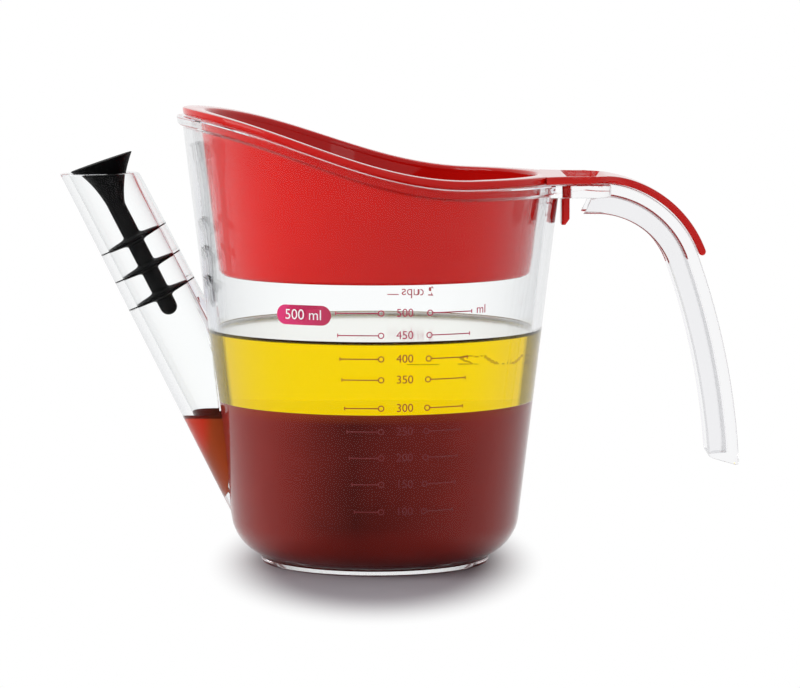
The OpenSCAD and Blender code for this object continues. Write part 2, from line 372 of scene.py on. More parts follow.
# The far side's ink is thin, so that it only shows faintly through the fat.
def rearInk():
    f = newFinish("rearInk")
    z = place(f)[2]
    clear = mixColour(f, noise(f, 300), rgb(232, 130, 162), rgb(238, 148, 176))
    sockets = {
        "Base Color": inkShade(f, z, clear, rgb(214, 172, 60), rgb(120, 14, 20)),
        "Roughness": 0.4,
        "Alpha": 1 - between(z, *inkLevels["fat"]) * 0.7,
    }
    return f.done(principled(f, sockets))


clearFinish = clearPlastic()
redFinish = redPlastic()
blackFinish = blackSilicone()
gravyFinish = gravy()
spoutGravyFinish = spoutGravy()
inkFinish = redInk()
pillFinish = pillInk()
whiteFinish = whiteInk()
rearFinish = rearInk()
print("finishes made")


# mesh tools: points are in millimetres


def newMesh(name, points, faces):
    mesh = bpy.data.meshes.new(name)
    mesh.from_pydata([Vector(p) * mm for p in points], [], faces)
    mesh.validate()
    work = bmesh.new()
    work.from_mesh(mesh)
    bmesh.ops.recalc_face_normals(work, faces=work.faces)
    work.to_mesh(mesh)
    work.free()
    built = bpy.data.objects.new(name, mesh)
    scene.collection.objects.link(built)
    return built


# A closed solid through rings of equal length. A ring of one point is a pole, and looped joins the last
# ring to the first.
def loft(name, rings, looped=False):
    points, faces, starts = [], [], []
    for ring in rings:
        starts.append(len(points))
        points.extend(ring)
    count = max(len(ring) for ring in rings)
    pairs = list(zip(range(len(rings) - 1), range(1, len(rings))))
    if looped:
        pairs.append((len(rings) - 1, 0))
    for low, high in pairs:
        a, b = starts[low], starts[high]
        for i in range(count):
            j = (i + 1) % count
            if len(rings[low]) == 1:
                faces.append((a, b + j, b + i))
            elif len(rings[high]) == 1:
                faces.append((a + i, a + j, b))
            else:
                faces.append((a + i, a + j, b + j, b + i))
    if not looped:
        if len(rings[0]) > 1:
            faces.append(tuple(reversed(range(starts[0], starts[0] + count))))
        if len(rings[-1]) > 1:
            faces.append(tuple(range(starts[-1], starts[-1] + count)))
    return newMesh(name, points, faces)


# Joins or cuts with another solid, which is used up.
def combine(target, tool, operation):
    step = target.modifiers.new("step", "BOOLEAN")
    step.operation = operation
    step.solver = "EXACT"
    step.object = tool
    view = bpy.context.evaluated_depsgraph_get()
    mesh = bpy.data.meshes.new_from_object(target.evaluated_get(view))
    target.modifiers.clear()
    target.data = mesh
    bpy.data.objects.remove(tool)


def smooth(piece, angle=30):
    mesh = piece.data
    mesh.polygons.foreach_set("use_smooth", [True] * len(mesh.polygons))
    mesh.set_sharp_from_angle(angle=radians(angle))


def dress(piece, finish, body, nodes=()):
    piece.data.materials.clear()
    piece.data.materials.append(finish)
    if nodes:
        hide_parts(*nodes)
    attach(piece, body)


def circle(radius, z, count):
    return [(radius * cos(2 * pi * i / count), radius * sin(2 * pi * i / count), z) for i in range(count)]


# Revolves (radius, z) pairs, of which the first and last may lie on the axis.
def turned(name, profile, count):
    rings = []
    for radius, z in profile:
        rings.append([(0, 0, z)] if radius == 0 else circle(radius, z, count))
    return loft(name, rings)


# Points of an arc, from one angle after +X through a turn, in degrees.
def bend(x, z, radius, start, turn, steps):
    angles = [radians(start + turn * i / steps) for i in range(steps + 1)]
    return [(x + radius * cos(a), z + radius * sin(a)) for a in angles]


# the clear jug

cup = {
    "r": 43.0,  # where the cone of the wall meets Z 0
    "draft": 6.85,  # degrees that the wall leans out
    "wall": 2.6,
    "corner": 14.0,  # outer round between floor and wall
    "footR": 35.5,
    "footW": 2.4,
    "footH": 1.6,
    "rimHigh": 138.7,
    "rimStart": 67.5,  # the rim's swoop starts this far out on the spout's side
    "rimLow": 117.6,
    "levelX": 30.0,  # X from which the rim is level
    "bead": 1.5,
    "beadH": 3.0,
    "wallRings": 9,
    "round": 192,  # points round it
}
settles = 12  # rounds that bring a height and the radius there together
lean = tan(radians(cup["draft"]))
slant = 1 / cos(radians(cup["draft"]))
turnZ = cup["footH"] + cup["corner"]
turnX = cup["r"] + lean * turnZ - cup["corner"] * slant


def cupAt(z, inset=0):
    return cup["r"] + lean * z - inset * slant


def rimZ(x):
    start = -cup["rimStart"]
    u = min(1, max(0, (x - start) / (cup["levelX"] - start)))
    return cup["rimLow"] + (cup["rimHigh"] - cup["rimLow"]) * (1 + cos(pi * u)) / 2


# The point on the wall that lies a drop below the rim, stood out by extra.
def rimPoint(angle, drop, extra):
    z = cup["rimLow"]
    for _ in range(settles):
        radius = cupAt(z) + extra
        z = rimZ(radius * cos(angle)) - drop
    return (radius * cos(angle), radius * sin(angle), z)


def cupOuter():
    count = cup["round"]
    foot = cup["footR"]
    inner = foot - cup["footW"]
    rings = [[(0, 0, cup["footH"])]]
    profile = [(inner - 0.8, cup["footH"]), (inner - 0.2, cup["footH"] - 0.3), (inner, cup["footH"] - 0.8)]
    profile += [(inner + 0.1, 0.4), (inner + 0.5, 0), (foot - 0.6, 0), (foot - 0.15, 0.25), (foot, 0.7)]
    meet = turnZ - sqrt(cup["corner"] ** 2 - (foot - turnX) ** 2)
    profile += [(foot, meet - 0.4)]
    first = degrees(atan2(meet - turnZ, foot - turnX)) + 1.5
    profile += bend(turnX, turnZ, cup["corner"], first, -cup["draft"] - first, 14)
    rings += [circle(r, z, count) for r, z in profile]
    angles = [2 * pi * i / count for i in range(count)]
    wallFoot = profile[-1][1]
    steps = cup["wallRings"]
    for step in range(1, steps + 1):
        ring = []
        for a in angles:
            high = rimPoint(a, cup["beadH"] + 0.5, 0)[2]
            z = wallFoot + (high - wallFoot) * step / steps
            ring.append((cupAt(z) * cos(a), cupAt(z) * sin(a), z))
        rings.append(ring)
    bead = cup["bead"]
    for drop, extra in [(0.1, 0.3), (-0.2, 0.75), (-0.6, 1)]:
        rings.append([rimPoint(a, cup["beadH"] + drop, bead * extra) for a in angles])
    for drop, extra in [(0.5, 1), (0.15, 0.8), (0, 0.4)]:
        rings.append([rimPoint(a, drop, bead * extra) for a in angles])
    for share in (0.9, 0.6, 0.3):
        ring = []
        for a in angles:
            radius = cupAt(cup["rimLow"]) * share
            ring.append((radius * cos(a), radius * sin(a), rimZ(radius * cos(a))))
        rings.append(ring)
    rings.append([(0, 0, rimZ(0))])
    return loft("clearJug", rings)


def cupCavity():
    floor = cup["footH"] + cup["wall"]
    inner = cup["corner"] - cup["wall"]
    above = cup["rimHigh"] + 12
    profile = [(0, floor)] + bend(turnX, turnZ, inner, -90, 90 - cup["draft"], 12)
    profile += [(cupAt(above, cup["wall"]), above), (0, above)]
    return turned("cavity", profile, cup["round"])


spout = {
    "tilt": 27.0,  # degrees from upright
    "mouth": (-85.1, 120.3),  # X and Z of its centre
    "lip": 1.2,  # degrees that the mouth is tilted
    "bore": 8.8,
    "wall": 2.2,
    "flare": 0.5,  # degrees that the outside widens towards the cup
    "footZ": 12.5,  # the tube ends at this height, inside the cup
    "footIn": 0.9,  # how much thinner it is there
    "footRun": 9.0,  # and over what length
    "portTop": 42.0,
    "round": 72,
}
spoutLean = radians(spout["tilt"])
spoutMouth = Vector((spout["mouth"][0], 0, spout["mouth"][1]))
spoutAxis = Vector((-sin(spoutLean), 0, cos(spoutLean)))
spoutSide = Vector((cos(spoutLean), 0, sin(spoutLean)))


# A point round the spout, at a distance along its axis from the mouth's centre.
def onSpout(radius, angle, along, shear=0):
    across = radius * cos(angle)
    level = along + across * shear
    return spoutMouth + spoutSide * across + spoutAxis * level + Vector((0, radius * sin(angle), 0))


def spoutRing(radius, along, shear=0):
    count = spout["round"]
    return [onSpout(radius, 2 * pi * i / count, along, shear) for i in range(count)]


def spoutOuter():
    mouthR = spout["bore"] + spout["wall"]
    shear = -tan(spoutLean - radians(spout["lip"]))
    foot = (spout["mouth"][1] - spout["footZ"]) / cos(spoutLean)
    rings = []
    for step in range(15):
        along = -foot + (foot - 8) * step / 14
        radius = mouthR - along * tan(radians(spout["flare"]))
        nearFoot = max(0, 1 - (foot + along) / spout["footRun"])
        rings.append(spoutRing(radius - spout["footIn"] * nearFoot, along))
    rings.append(spoutRing(mouthR, -0.35, shear))
    rings.append(spoutRing(mouthR - 0.12, -0.1, shear))
    rings.append(spoutRing(mouthR - 0.4, 0, shear))
    return loft("spoutTube", rings)


# Open all the way outside the cup, and only below the port's top inside its wall.
def spoutBore():
    foot = (spout["mouth"][1] - turnZ) / cos(spoutLean)
    level = tan(spoutLean)
    bore = loft("bore", [spoutRing(spout["bore"], -foot, -level), spoutRing(spout["bore"], 12)])
    low = spout["portTop"]
    high = cup["rimHigh"] + 20
    keep = turned("keep", [(0, low), (cupAt(low), low), (cupAt(high), high), (0, high)], cup["round"])
    combine(bore, keep, "DIFFERENCE")
    return bore


grip = {
    "wide": 18.0,
    "deep": 9.5,
    "web": 3.2,  # thickness of the channel's back
    "side": 2.6,
    "edge": 1.3,
    "bendX": 68.0,  # where it starts to bend down
    "bendR": 33.3,
    "bendTurn": 70.0,  # degrees
    "sweepR": 225.0,  # the long sweep below the bend
    "sweepTurn": 17.1,
    "plug": 4.5,  # thickness of the closed end
    "endSlope": 16.0,  # degrees from level at which that end is cut
    "root": 4.0,  # thickness of the plate between cup and handle
    "beak": 4.0,  # how far its open side reaches back under that plate
}
shoulder = {"wide": 41.0, "start": 30.0, "end": 72.0, "corner": 5.0}
bendZ = cup["rimLow"] - grip["bendR"]


# (point on the back, direction to the open side) at a turn down the handle, or beyond its start.
def gripStation(turn, beyond=0):
    if turn <= grip["bendTurn"]:
        a, r, x, z = radians(turn), grip["bendR"], grip["bendX"], bendZ
    else:
        a, r = radians(turn), grip["sweepR"]
        b = radians(grip["bendTurn"])
        x = grip["bendX"] + (grip["bendR"] - r) * sin(b)
        z = bendZ + (grip["bendR"] - r) * cos(b)
    return Vector((x + r * sin(a) - beyond, 0, z + r * cos(a))), Vector((-sin(a), 0, -cos(a)))


# (depth, y) round a rectangle with round corners.
def roundedSection(low, high, wide, radius, steps=4):
    half = wide / 2
    corners = [(low + radius, radius - half, 180), (high - radius, radius - half, 270)]
    corners += [(high - radius, half - radius, 0), (low + radius, half - radius, 90)]
    points = []
    for d, y, start in corners:
        points += bend(d, y, radius, start, 90, steps)
    return points


def gripRing(turn, section, beyond=0, slope=0):
    point, inward = gripStation(turn, beyond)
    along = Vector((-inward.z, 0, inward.x))
    return [point + inward * d + Vector((0, y, 0)) + along * (d * slope) for d, y in section]


def gripOuter():
    section = roundedSection(0, grip["deep"], grip["wide"], grip["edge"])
    deep = grip["deep"] - grip["root"]
    back = grip["beak"] / deep
    start = gripStation(0)[0]
    rings = [[start + Vector((-max(0, d - grip["root"]) * back, y, -d)) for d, y in section]]
    turns = [3 + (grip["bendTurn"] - 3) * i / 28 for i in range(29)]
    turns += [grip["bendTurn"] + grip["sweepTurn"] * i / 16 for i in range(1, 15)]
    rings += [gripRing(t, section) for t in turns]
    last = grip["bendTurn"] + grip["sweepTurn"]
    slope = -tan(radians(90 - last + grip["endSlope"]))
    for inset, short in [(0, 1.2), (0.35, 0.3), (1.0, 0)]:  # a round on the closed end's edges
        wide, edge = grip["wide"] - 2 * inset, grip["edge"] - 0.2 * inset
        ended = roundedSection(inset, grip["deep"] - inset, wide, edge)
        turn = last - degrees(short / grip["sweepR"])
        rings.append(gripRing(turn, ended, 0, slope))
    return loft("grip", rings)


def gripHollow():
    inner = grip["wide"] - 2 * grip["side"]
    below = grip["deep"] + 3
    rings = []
    for beyond in (12, 6, 1):
        rings.append(gripRing(0, roundedSection(grip["root"], below, inner, 1.2), beyond))
    plugTurn = degrees(grip["plug"] / grip["sweepR"])
    last = grip["bendTurn"] + grip["sweepTurn"] - plugTurn
    section = roundedSection(grip["web"], below, inner, 1.2)
    turns = [4 + (grip["bendTurn"] - 4) * i / 24 for i in range(25)]
    turns += [grip["bendTurn"] + (last - grip["bendTurn"]) * i / 14 for i in range(1, 15)]
    rings += [gripRing(t, section) for t in turns]
    return loft("hollow", rings)


def shoulderPlan(start, end, wide, corner, steps=6):
    half = wide / 2
    points = [(start, -half)]
    points += bend(end - corner, corner - half, corner, -90, 90, steps)
    points += bend(end - corner, half - corner, corner, 0, 90, steps)
    return points + [(start, half)]


# The plate between cup and handle, with a round on its upper and lower edges.
def rootPlate():
    rings = []
    high = cup["rimLow"] - 0.1
    low = cup["rimLow"] - grip["root"]
    edge = [(0.7, 0), (0.2, 0.2), (0, 0.7)]
    levels = [(inset, low + up) for inset, up in edge]
    levels += [(inset, high - up) for inset, up in reversed(edge)]
    for inset, z in levels:
        wide, corner = shoulder["wide"] - 2 * inset, shoulder["corner"] - inset
        plan = shoulderPlan(shoulder["start"], shoulder["end"] - inset, wide, corner)
        rings.append([(x, y, z) for x, y in plan])
    return loft("root", rings)


latch = {
    "wide": 14.0,
    "thick": 2.4,
    "gap": 0.3,  # round it in its slot
    "taper": 0.14,  # share of its length over which its end thins to half
    "narrow": 2.4,  # and gets narrower by this
}


def latchSlot():
    near = cupAt(cup["rimLow"]) + 0.06
    end = cupAt(cup["rimLow"]) + 2 * latch["gap"] + latch["thick"]
    half = latch["wide"] / 2 + latch["gap"]
    low, high = cup["rimLow"] - 12, cup["rimLow"] + 8
    plan = [(near, -half), (end, -half), (end, half), (near, half)]
    return loft("slot", [[(x, y, low) for x, y in plan], [(x, y, high) for x, y in plan]])


def clearJug():
    jug = cupOuter()
    combine(jug, spoutOuter(), "UNION")
    handle = gripOuter()
    combine(handle, rootPlate(), "UNION")
    combine(handle, gripHollow(), "DIFFERENCE")
    combine(jug, handle, "UNION")
    combine(jug, cupCavity(), "DIFFERENCE")
    combine(jug, spoutBore(), "DIFFERENCE")
    combine(jug, latchSlot(), "DIFFERENCE")
    smooth(jug)
    dress(jug, clearFinish, "jug", ["jug_body", "pour_spout", "handle"])
    return jug


jug = clearJug()
print("clear jug:", len(jug.data.vertices), "points")


# what fills the jug

fill = {
    "bite": 0.05,  # how far the liquids reach into the wall
    "parting": 50.5,  # between gravy and fat
    "fatTop": 71.6,
    "climb": 1.2,  # how far the fat's edge is drawn up the wall
    "meniscus": [(0.2, 0.85), (0.5, 0.5), (1.1, 0.2), (2.4, 0.03)],  # (off the wall, share of the climb)
    "spoutLevel": 45.6,
    "spoutDepth": 1.2,  # how far the spout's gravy reaches into the cup's wall
    "round": 192,
}
fatLook = {
    "ior": 1.46,
    "skin": 0.94,  # how much of the surface is a mirror
    "sheen": (0.97, 0.97, 0.94, 1),
    "shadow": (0.95, 0.85, 0.2, 1),
    "skinIn": (0.08, 0.13),  # the mirror begins between these distances from the fat's edge
    "skinUp": (-0.2, -0.15),  # and these heights over the fat's level
    "lineUp": (0.05, 0.383),  # the painted dark line of shade begins between these heights over it
    "front": (10, -10),  # Y over which the painted shade of the line gets darker towards the front
    "edge": (0.24, 0.2543),  # how far a side has turned away where its painted grey edge shade begins
}


# Clear yellow, with a mirror on top, and painted shade: a dark line where it meets the wall, and grey
# sides.
def liquidFat():
    f = newFinish("liquidFat")
    x, y, z = place(f)
    inward = z * lean + cupAt(0, cup["wall"] - fill["bite"]) - f.maths("SQRT", x * x + y * y)
    above = z - fill["fatTop"]
    skin = between(inward, *fatLook["skinIn"]) * between(above, *fatLook["skinUp"])
    # Painted shade: a dark line along the top where the fat meets the wall, darker towards the front.
    line = between(above, *fatLook["lineUp"]) * (1 - skin)
    frontShade = between(y, *fatLook["front"]) * 0.77 + 0.2
    # Painted shade: the sides turn grey where they turn away.
    edge = between(facingAway(f), *fatLook["edge"])
    shade = mixColour(f, noise(f, 30), rgb(249, 208, 0), rgb(251, 217, 2))
    shade = mixColour(f, edge * 0.9, shade, rgb(62, 54, 18))
    body = principled(
        f,
        {
            "Base Color": mixColour(f, line * frontShade, shade, rgb(20, 12, 6)),
            "Roughness": 0.0,
            "IOR": fatLook["ior"],
            "Specular Tint": clearLook["glint"],
            "Transmission Weight": 1.0,
        },
    )
    # The mirror lies level right up to the wall, so that its edge doesn't catch the red above it.
    under = f.add("NewGeometry")[6]
    level = f.add("CombineXYZ", {}, {2: 1 - 2 * under})[0]
    sheen = f.add("BsdfGlossy", {}, {"Color": fatLook["sheen"], "Roughness": 0.12, "Normal": level})[0]
    light = f.add("BsdfTransparent", {}, {0: fatLook["shadow"]})[0]
    whole = mixShader(f, skin * fatLook["skin"], body, sheen)
    return f.done(mixShader(f, straightOn(f), whole, light))


# A round body of liquid that bites just into the wall, so that no air shows between.
def cupFill(name, low, high, climb):
    gap = cup["wall"] - fill["bite"]
    floor = cup["footH"] + gap
    if low <= floor:
        profile = [(0, floor)] + bend(turnX, turnZ, cup["corner"] - gap, -90, 90 - cup["draft"], 12)
    else:
        profile = [(0, low), (cupAt(low, gap), low)]
    for step in range(1, 6):
        z = profile[-1][1] + (high + climb - profile[-1][1]) / (6 - step)
        profile.append((cupAt(z, gap), z))
    edge = cupAt(high, gap)
    for inward, share in fill["meniscus"]:
        profile.append((edge - inward, high + climb * share))
    profile += [(edge * 0.5, high), (0, high)]
    return turned(name, profile, fill["round"])


# The gravy that stands in the spout's bore, and ends inside the cup's wall.
def spoutFill():
    radius = spout["bore"] + fill["bite"]
    foot = (spout["mouth"][1] - turnZ) / cos(spoutLean)
    level = tan(spoutLean)
    high = (spout["mouth"][1] - fill["spoutLevel"]) / cos(spoutLean)
    rings = [spoutRing(radius, -foot, -level)]
    rings += [spoutRing(radius, -high - drop, -level) for drop in (30, 15, 5)]
    rings += [spoutRing(radius, -high + 0.5, -level), spoutRing(radius - 0.3, -high + 0.25, -level)]
    rings += [spoutRing(radius - 1.2, -high, -level)]
    body = loft("spoutGravy", rings)
    low, up = 5, 70  # the cone that cuts it is taller than it is
    lowR, upR = cupAt(low) - fill["spoutDepth"], cupAt(up) - fill["spoutDepth"]
    wall = turned("wall", [(0, low), (lowR, low), (upR, up), (0, up)], cup["round"])
    combine(body, wall, "DIFFERENCE")
    return body


cupGravy = cupFill("cupGravy", 0, fill["parting"], 0)
smooth(cupGravy)
dress(cupGravy, gravyFinish, "jug")
fat = cupFill("fat", fill["parting"] + 0.1, fill["fatTop"], fill["climb"])
smooth(fat)
dress(fat, liquidFat(), "jug")
spoutPool = spoutFill()
smooth(spoutPool)
dress(spoutPool, spoutGravyFinish, "jug")
print("jug filled")


# the printed scale: plain numbers and marks wrapped round the wall

marks = {
    "first": 100,
    "last": 500,
    "step": 50,
    "heights": [21.2, 29.6, 37.7, 45.7, 52.8, 61.4, 67.7, 74.8, 81.5],
    "centre": 8.9,  # middle of the numbers, from the front round the wall
    "digit": 3.5,
    "line": 0.32,
    "tickH": 1.1,
    "ring": 0.8,
    "unitX": 33.9,
    "unit": 3.7,
    "topZ": 81.6,
    "leftEnd": (-11.9, 0.0923),  # place at topZ, and shift for each mm below it
    "leftRing": (1.8, 0.0),
    "rightRing": (16.6, -0.028),
    "rightEnd": (30.6, -0.101),
    "stand": 0.03,  # how far the ink stands off the wall
    "thick": 0.04,
}


# The height of an amount, read between the printed marks.
def markZ(amount):
    n = (amount - marks["first"]) / marks["step"]
    low = min(int(n), len(marks["heights"]) - 2)
    start, end = marks["heights"][low], marks["heights"][low + 1]
    return start + (end - start) * (n - low)


# A place on the wall: flatX is the distance round it from the front.
def wrap(flatX, z, stand):
    radius = cupAt(z) + stand
    angle = flatX / cupAt(z)
    return (radius * sin(angle), -radius * cos(angle), z)


# (points, faces) of a closed outline's thin slab. The outline is (flatX, z).
def inkPlate(outline):
    count = len(outline)
    points = [wrap(x, z, marks["stand"]) for x, z in outline]
    points += [wrap(x, z, marks["stand"] + marks["thick"]) for x, z in outline]
    faces = [tuple(reversed(range(count))), tuple(range(count, 2 * count))]
    for i in range(count):
        j = (i + 1) % count
        faces.append((i, j, count + j, count + i))
    return points, faces


def inkBar(x0, x1, z, thick):
    steps = max(1, int(abs(x1 - x0) / 1.5))
    low = [(x0 + (x1 - x0) * i / steps, z - thick / 2) for i in range(steps + 1)]
    high = [(x, z + thick / 2) for x, _ in reversed(low)]
    return inkPlate(low + high)


def inkRing(x, z, radius, thick, count=20):
    points, faces = [], []
    for stand in (marks["stand"], marks["stand"] + marks["thick"]):
        for r in (radius - thick / 2, radius + thick / 2):
            for i in range(count):
                a = 2 * pi * i / count
                points.append(wrap(x + r * cos(a), z + r * sin(a), stand))
    for i in range(count):
        j = (i + 1) % count
        inLow, outLow, inHigh, outHigh = 0, count, 2 * count, 3 * count
        faces.append((inLow + i, inLow + j, outLow + j, outLow + i))
        faces.append((inHigh + i, outHigh + i, outHigh + j, inHigh + j))
        faces.append((outLow + i, outLow + j, outHigh + j, outHigh + i))
        faces.append((inLow + j, inLow + i, inHigh + i, inHigh + j))
    return points, faces


# Letters as a thin solid, centred at (x, z) and wrapped round the wall.
def inkText(words, x, z, size, stand=0):
    curve = bpy.data.curves.new("words", "FONT")
    curve.body = words
    curve.size = size
    curve.align_x = "CENTER"
    curve.align_y = "CENTER"
    curve.extrude = marks["thick"] / 2
    holder = bpy.data.objects.new("words", curve)
    scene.collection.objects.link(holder)
    view = bpy.context.evaluated_depsgraph_get()
    mesh = bpy.data.meshes.new_from_object(holder.evaluated_get(view))
    points = []
    for v in mesh.vertices:
        depth = v.co.z + marks["thick"] / 2 + marks["stand"] + stand
        points.append(wrap(x + v.co.x, z + v.co.y, depth))
    faces = [tuple(face.vertices) for face in mesh.polygons]
    bpy.data.objects.remove(holder)
    return points, faces


def merged(name, sheets):
    points, faces = [], []
    for some, loops in sheets:
        start = len(points)
        points.extend(some)
        faces.extend(tuple(start + i for i in loop) for loop in loops)
    return newMesh(name, points, faces)


def scalePrint():
    sheets = []
    for amount in range(marks["first"], marks["last"] + 1, marks["step"]):
        z = markZ(amount)
        below = marks["topZ"] - z
        spots = {}
        for name in ("leftEnd", "leftRing", "rightRing", "rightEnd"):
            spots[name] = marks[name][0] + marks[name][1] * below
        ring, thick = marks["ring"], marks["line"]
        sheets.append(inkText(str(amount), marks["centre"], z, marks["digit"]))
        sheets.append(inkBar(spots["leftEnd"], spots["leftRing"] - ring, z, thick))
        sheets.append(inkBar(spots["leftEnd"], spots["leftEnd"] + thick, z, marks["tickH"]))
        sheets.append(inkRing(spots["leftRing"], z, ring, thick))
        sheets.append(inkBar(spots["rightRing"] + ring, spots["rightEnd"], z, thick))
        sheets.append(inkBar(spots["rightEnd"] - thick, spots["rightEnd"], z, marks["tickH"]))
        sheets.append(inkRing(spots["rightRing"], z, ring, thick))
    sheets.append(inkText("ml", marks["unitX"], marks["topZ"] + 0.3, marks["unit"]))
    return merged("scalePrint", sheets)


# A plain cup scale on the far side, which shows faintly through the jug.
rear = {
    "words": -14.5,
    "tick": -8.0,
    "long": 4.0,
    "size": 4.4,
    "rise": 1.2,  # how far the words stand higher than their tick
    "cups": [("1/2", 118), ("1", 237), ("1 1/2", 355), ("2 cups", 473)],
}


def rearPrint():
    sheets = []
    for words, amount in rear["cups"]:
        z = markZ(amount)
        sheets.append(inkText(words, rear["words"], z + rear["rise"], rear["size"]))
        sheets.append(inkBar(rear["tick"], rear["tick"] + rear["long"], z, marks["line"]))
    sheets = [([(-x, -y, z) for x, y, z in points], faces) for points, faces in sheets]
    return merged("rearPrint", sheets)


pill = {"words": "500 ml", "x": -22.0, "z": 80.6, "wide": 17.8, "high": 6.0, "size": 4.4}


def pillPlate():
    r = pill["high"] / 2
    half = pill["wide"] / 2 - r
    outline = bend(pill["x"] + half, pill["z"], r, -90, 180, 12)
    outline += [(pill["x"] + half * (1 - i / 4), pill["z"] + r) for i in range(1, 8)]
    outline += bend(pill["x"] - half, pill["z"], r, 90, 180, 12)
    outline += [(pill["x"] - half * (1 - i / 4), pill["z"] - r) for i in range(1, 8)]
    return merged("unitPill", [inkPlate(outline)])


printed = scalePrint()
dress(printed, inkFinish, "jug")
behind = rearPrint()
dress(behind, rearFinish, "jug")
plate = pillPlate()
dress(plate, pillFinish, "jug")
pillWords = inkText(pill["words"], pill["x"], pill["z"], pill["size"], marks["thick"] + 0.01)
unit = merged("unitWords", [pillWords])
dress(unit, whiteFinish, "jug")
print("scale printed")


# the red strainer

basket = {
    "gap": 3.0,  # between its wall and the cup's
    "wall": 1.8,
    "floor": bottom("strainer_basket"),
    "foot": 1.5,  # round where the wall meets the floor
    "ledge": 2.2,  # it carries the perforated plate
    "ledgeT": 1.2,
    "round": 192,
}
band = {
    "play": 0.2,  # over the clear rim
    "high": 2.4,
    "inside": 2.1,  # how far its outer edge stays inside the bead's
    "edge": 0.7,
}
strap = {
    "thick": 2.3,
    "gap": 0.3,  # over the handle
    "wide": 17.0,
    "turn": 69.5,  # degrees round the handle's bend
    "dish": 1.1,  # depth of the thumb's dish
    "lip": 1.2,  # what stays level round the dish
    "dishSide": 1.6,  # width of its soft sides
    "dishEnd": 2.4,  # and of its soft end over the handle
    "edge": 0.7,
    "into": 5.0,  # how far the strap starts inside the red rim
    "rimHollow": 18.0,  # radius where the shoulder leaves the red rim
    "narrowFrom": 64.0,  # X between which the shoulder narrows to the strap
    "narrowTo": 80.0,
    "steps": 36,
}
strapTop = cup["rimLow"] + strap["gap"] + strap["thick"]
flange = cup["bead"] - band["inside"]


def basketAt(z, inset=0):
    return cupAt(z, cup["wall"] + basket["gap"]) - inset


# The height at which the basket's wall ends, a little way up inside the red rim.
def underRim(angle, inset):
    z = cup["rimLow"]
    for _ in range(settles):
        radius = basketAt(z, inset)
        z = rimZ(radius * cos(angle)) + band["play"] + 0.5
    return z


def strainerBasket():
    count = basket["round"]
    angles = [2 * pi * i / count for i in range(count)]
    low, wall = basket["floor"], basket["wall"]
    inner = basketAt(low) - wall - basket["ledge"]
    rings = [circle(inner, low, count)]
    foot = basket["foot"]
    rings += [circle(r, z, count) for r, z in bend(basketAt(low) - foot, low + foot, foot, -90, 83, 6)]
    outside = (0, low + foot + 0.2, range(1, 9))
    inside = (wall, low + basket["ledgeT"], range(8, -1, -1))
    for inset, start, steps in (outside, inside):
        for step in steps:
            ring = []
            for a in angles:
                z = start + (underRim(a, inset) - start) * step / 8
                ring.append((basketAt(z, inset) * cos(a), basketAt(z, inset) * sin(a), z))
            rings.append(ring)
    rings.append(circle(inner, low + basket["ledgeT"], count))
    return loft("strainerBasket", rings, True)


# The red band that lies on the clear rim, with a round on each edge.
def splashRim():
    wide = flange + (cup["wall"] + basket["gap"]) * slant + basket["wall"]
    section = roundedSection(0, band["high"], wide, band["edge"], 3)
    count = basket["round"]
    rings = []
    for i in range(count):
        a = 2 * pi * i / count
        ring = []
        for up, out in section:
            z = strapTop
            for _ in range(settles):
                radius = cupAt(z) + flange - wide / 2 + out
                z = rimZ(radius * cos(a)) + band["play"] + up
            ring.append((radius * cos(a), radius * sin(a), z))
        rings.append(ring)
    return loft("splashRim", rings, True)


# (point on the strap's top line, outward direction) at a distance s from the start of its bend.
def strapStation(s):
    radius = strapTop - bendZ
    turn = max(0, s) / radius
    point = Vector((grip["bendX"] + min(0, s) + radius * sin(turn), 0, bendZ + radius * cos(turn)))
    return point, Vector((sin(turn), 0, cos(turn)))


# Half the width over the handle: a hollow out of the red rim, the shoulder, a soft narrowing and the strap.
def strapHalf(x):
    rimHollow = strap["rimHollow"]
    half = shoulder["wide"] / 2
    ring = cupAt(strapTop) + flange
    centre = sqrt((ring + rimHollow) ** 2 - (half + rimHollow) ** 2)
    if x < centre:
        dip = half + rimHollow - sqrt(rimHollow**2 - min(rimHollow, centre - x) ** 2)
        onRing = sqrt(max(0, ring**2 - x**2)) - 0.3
        return max(half, dip if x > centre * ring / (ring + rimHollow) else onRing)
    share = (x - strap["narrowFrom"]) / (strap["narrowTo"] - strap["narrowFrom"])
    narrow = (1 - cos(pi * min(1, max(0, share)))) / 2
    return half + (strap["wide"] / 2 - half) * narrow


# How deep the thumb's dish is, with soft sides inside the shoulder's lip.
def dishDepth(x, y):
    start = cupAt(strapTop) + flange + strap["lip"]
    end = shoulder["end"] - strap["lip"]
    side = shoulder["wide"] / 2 - strap["lip"]
    soft = strap["dishSide"]
    inside = min((x - start) / soft, (end - x) / strap["dishEnd"], (side - abs(y)) / soft)
    share = min(1, max(0, inside))
    return strap["dish"] * share * share * (3 - 2 * share)


